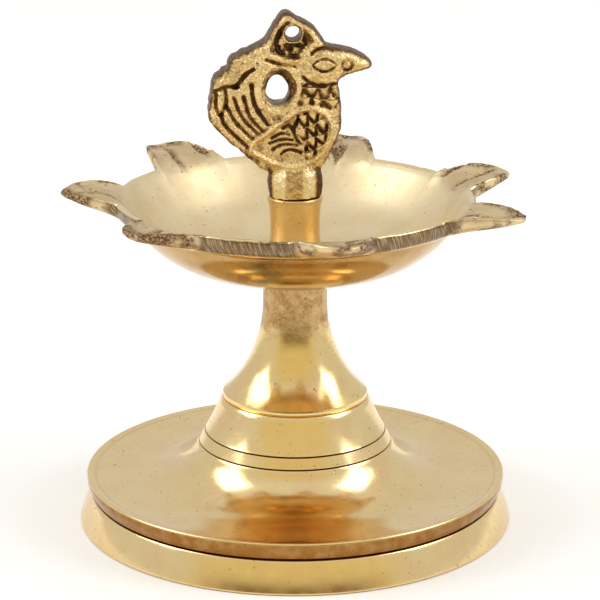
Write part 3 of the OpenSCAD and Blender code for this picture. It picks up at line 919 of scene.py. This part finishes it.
def collar_distance(x, y, z):
    """Distance to the squat eight-sided collar, negative inside it. Every second face stands out by 1 %."""
    directions, out_by = np.arange(8) * math.pi / 4, [1, 1.01] * 4
    faces = [(np.cos(a) * x + np.sin(a) * y) / k for a, k in zip(directions, out_by)]
    collar = faces[0]
    for face in faces[1:]:
        collar = smooth_max(collar, face, 0.5)
    return smooth_max(collar - np.interp(z, COLLAR_Z, COLLAR_HALF), z - COLLAR_TOP_Z, 0.8)


def box_blur(h, half):
    """A height field averaged twice along each axis, over 2 * half cells each time."""
    blurred = h.copy()
    for axis in (0, 1):
        for _ in range(2):
            pads = [(half, half) if k == axis else (0, 0) for k in (0, 1)]
            total = np.cumsum(np.pad(blurred, pads, mode="edge"), axis)
            lead, lag = (np.take(total, range(s, s + blurred.shape[axis]), axis) for s in (2 * half, 0))
            blurred = (lead - lag) / (2 * half)
    return blurred


def patina_and_painted_light_at(points, h, edge, xs, zs):
    """Up to 1 where the relief is deep or left as cast, 0 elsewhere. On the collar it is high for the painted
    dark reflections of its side facets and below 0 for its painted highlight streaks.
    """
    x, depth, z = points[:, 0], np.abs(points[:, 1]), points[:, 2]
    i = np.clip(np.rint((x - xs[0]) / BIRD_CELL).astype(int), 0, len(xs) - 1)
    k = np.clip(np.rint((z - zs[0]) / BIRD_CELL).astype(int), 0, len(zs) - 1)
    blurred = box_blur(h, 7)
    deep = np.clip((blurred - h - 0.03) / 0.34, 0, 1)
    under_face, on_bird = h[i, k] - depth, step(70.5, 73, z)
    side = step(0.35, 1.2, under_face) * on_bird
    rim = 0.8 * step(-0.95, -0.2, edge[i, k]) * on_bird
    patina_and_painted_light = np.maximum(deep[i, k] * step(1.0, 0.2, under_face), np.maximum(0.62 * side, rim))
    # On the collar, painted highlight streaks on two front facets and painted dark reflections on its side
    # facets
    on_collar = step(70.8, 69.8, z)
    painted_dark_facets = np.maximum(step(3.5, 4.3, x), step(-4.3, -4.8, x))
    painted_streaks = step(1.0, 1.6, x) * step(3.7, 3.2, x)
    painted_streaks = np.maximum(painted_streaks, step(-1.9, -2.4, x) * step(-4.4, -4.0, x))
    return patina_and_painted_light * (1 - on_collar) + on_collar * (0.85 * painted_dark_facets + 0.08 - 0.95 * painted_streaks)


def peacock():
    """The flat bird with its loop and hanging hole, on a collar that is bored for the short stud."""
    xs, ys, zs = (np.arange(low, high, BIRD_CELL) for low, high in (BIRD_X, BIRD_Y, BIRD_Z))
    x2, z2 = np.meshgrid(xs, zs, indexing="ij")
    h, edge, loop, throat = relief(x2, z2)
    x, y, z = (v.astype(np.float32) for v in np.meshgrid(xs, ys, zs, indexing="ij"))
    depth = np.abs(y)
    body = smooth_max(depth - h[:, None, :], edge[:, None, :] + 0.05 * depth, 0.8)
    # The loop is wider at both faces than at its throat, and the drilled hole has a worn mouth
    flare = step(1.2, 3.3, depth)
    opening = loop[:, None, :] * flare + throat[:, None, :] * (1 - flare)
    body = smooth_max(body, -opening, 0.5)
    drilled = np.hypot(x - HANG_HOLE[0], z - HANG_HOLE[1]) - HANG_R - 0.35 * step(2.3, 3.4, depth)
    body = smooth_max(body, -drilled, 0.15)
    solid = -smooth_max(-body, -collar_distance(x, y, z), 1.1)
    solid = solid + (0.035 + 0.07 * step(71.5, 70, z)) * noise(x, y, z, 0.9, layers=2)
    # The collar's lower face was filed a little out of square, so it gapes at the front
    under = POST_TOP_Z + 0.012 + np.clip(0.045 * (0.6 * x - y) + 0.02 * noise(x, y, z * 0, 1.5), 0, 0.5) - z
    solid = smooth_max(solid, under, 0.12)
    # The bore for the stud, with a conical end above 70.1 mm
    solid = np.maximum(solid, STUD_R + PLAY - np.hypot(x, y) - 4 * np.maximum(0, z - 70.1))
    points, quads = surface_net(solid, np.array([xs[0], ys[0], zs[0]]), BIRD_CELL)
    cos, sin = math.cos(BIRD_YAW), math.sin(BIRD_YAW)
    turn = np.array([[cos, -sin, 0], [sin, cos, 0], [0, 0, 1]])
    obj = make_mesh("peacock_casting", points @ turn.T, quads, sharp_deg=180)
    # Patina in the hollows, and painted highlights and painted dark reflections on the collar
    set_attribute(obj, "patina_and_painted_light", patina_and_painted_light_at(points, h, edge, xs, zs))
    return obj


# ---------------- put the lamp together
base = turned("turned_base", base_profile())
# Painted shade in the grooves and at the foot's edge, and a painted dark reflection on the plate's edge band
set_attribute(base, "painted_edge_shade", edge_painted_shade(base))
add_piece(base, "base", "stand", turned_brass("foot_brass", edged=True))
add_piece(turned("turned_stem", stem_profile()), "stem", "stand",
          turned_brass("neck_brass", colour=NECK_BRASS, skin_from=38.5))
add_piece(dish(), "dish", "dish", dish_brass("dish_brass"))
add_piece(turned("turned_post", post_profile(), steps=160), "post", "post",
          turned_brass("post_brass", colour=POST_BRASS))
add_piece(peacock(), "peacock_finial", "finial", cast_brass("cast_brass"))

steel = plain_steel("plain_steel")
add_piece(threaded("long_stud", "tie_rod", 1.0, 0.55), "tie_rod", "stand", steel)
add_piece(threaded("short_stud", "finial_stud", 0.8, 0.45), "finial_stud", "stud", steel)
add_piece(hex_nut("hexagon_nut", "base_nut"), "base_nut", "nut", steel)
add_piece(turned("steel_washer", washer_profile("base_washer", ROD_R + PLAY, 0.2), steps=120),
          "base_washer", "washer", steel)

leather = oiled_leather("oiled_leather")
add_piece(turned("neck_leather", washer_profile("dish_gasket", ROD_R + 0.1, 0.15), steps=120),
          "dish_gasket", "stand", leather)
add_piece(turned("seal_leather", washer_profile("post_seal", ROD_R + PLAY, 0.15), steps=120),
          "post_seal", "seal", leather)


# ---------------- floor, lights and camera
def add_floor():
    """A white floor 12 m wide, which is not a piece of the lamp."""
    mesh = bpy.data.meshes.new("floor")
    half = 6.0
    corners = [(-half, -half, 0), (half, -half, 0), (half, half, 0), (-half, half, 0)]
    mesh.from_pydata(corners, [], [(0, 1, 2, 3)])
    obj = bpy.data.objects.new("floor", mesh)
    bpy.context.scene.collection.objects.link(obj)
    mesh.materials.append(floor_white("floor_white"))


ROOM = (0.74, 0.74, 0.73)
OVERHEAD = (0.84, 0.84, 0.83)
FRONT_WALL = (0.80, 0.71, 0.44)
BEHIND_CAMERA = (0.26, 0.18, 0.10)
# Each softbox: name, azimuth and elevation in degrees, width and height in m, power in W
SOFTBOXES = [("softbox_left", -87, 40, (0.56, 0.60), 3.15), ("softbox_right", 84, 41, (0.52, 0.60), 3.05)]
SOFTBOX_DISTANCE, AIM_Z = 1.1, 0.05
CAMERA_AT, CAMERA_DOWN_DEG = (0.00096, -0.4559, 0.17948), 16.57
SENSOR_MM, LENS_MM = 36.0, 147.08


def softbox(name, azimuth, elevation, size, power):
    """An area light that looks at the lamp. Azimuth 0 is beside the camera, positive to the right."""
    light = bpy.data.lights.new(name, "AREA")
    light.shape, light.size, light.size_y, light.energy = "RECTANGLE", size[0], size[1], power
    obj = bpy.data.objects.new(name, light)
    az, el = math.radians(azimuth), math.radians(elevation)
    level = SOFTBOX_DISTANCE * math.cos(el)
    height = AIM_Z + SOFTBOX_DISTANCE * math.sin(el)
    obj.location = (level * math.sin(az), -level * math.cos(az), height)
    obj.rotation_euler = (math.pi / 2 - el, 0, az)
    bpy.context.scene.collection.objects.link(obj)


def add_world():
    """A pale room, brighter overhead, with a warm wall behind the camera that is dark low down."""
    world = bpy.data.worlds.new("studio")
    world.use_nodes = True
    nodes = Nodes(world.node_tree)
    direction = nodes.node("ShaderNodeTexCoord").outputs["Generated"]
    parts = nodes.node("ShaderNodeSeparateXYZ", {0: direction})
    # The limits are parts of the unit direction: Z is 1 straight up, and Y is -1 behind the camera
    up, front = parts.outputs["Z"], parts.outputs["Y"]
    at_front_wall = nodes.times(nodes.ramp(front, -0.35, -0.75), nodes.ramp(up, 0.80, 0.60))
    behind_camera = nodes.times(nodes.ramp(front, -0.55, -0.93), nodes.ramp(up, 0.34, 0.18))
    sky = nodes.mix(nodes.ramp(up, 0.62, 0.85), ROOM, OVERHEAD)
    sky = nodes.mix(at_front_wall, sky, FRONT_WALL)
    sky = nodes.mix(behind_camera, sky, BEHIND_CAMERA)
    nodes.plug(nodes.tree.nodes["Background"].inputs["Color"], sky)
    bpy.context.scene.world = world


def add_camera():
    """The photograph's view: a long lens 0.46 m in front of the lamp and 0.18 m up, looking down."""
    camera = bpy.data.cameras.new("camera")
    camera.sensor_width, camera.lens = SENSOR_MM, LENS_MM
    obj = bpy.data.objects.new("camera", camera)
    obj.location = CAMERA_AT
    obj.rotation_euler = (math.radians(90 - CAMERA_DOWN_DEG), 0, 0)
    bpy.context.scene.collection.objects.link(obj)
    bpy.context.scene.camera = obj


add_floor()
add_world()
for values in SOFTBOXES:
    softbox(*values)
add_camera()
bpy.context.scene.view_settings.view_transform = "Standard"
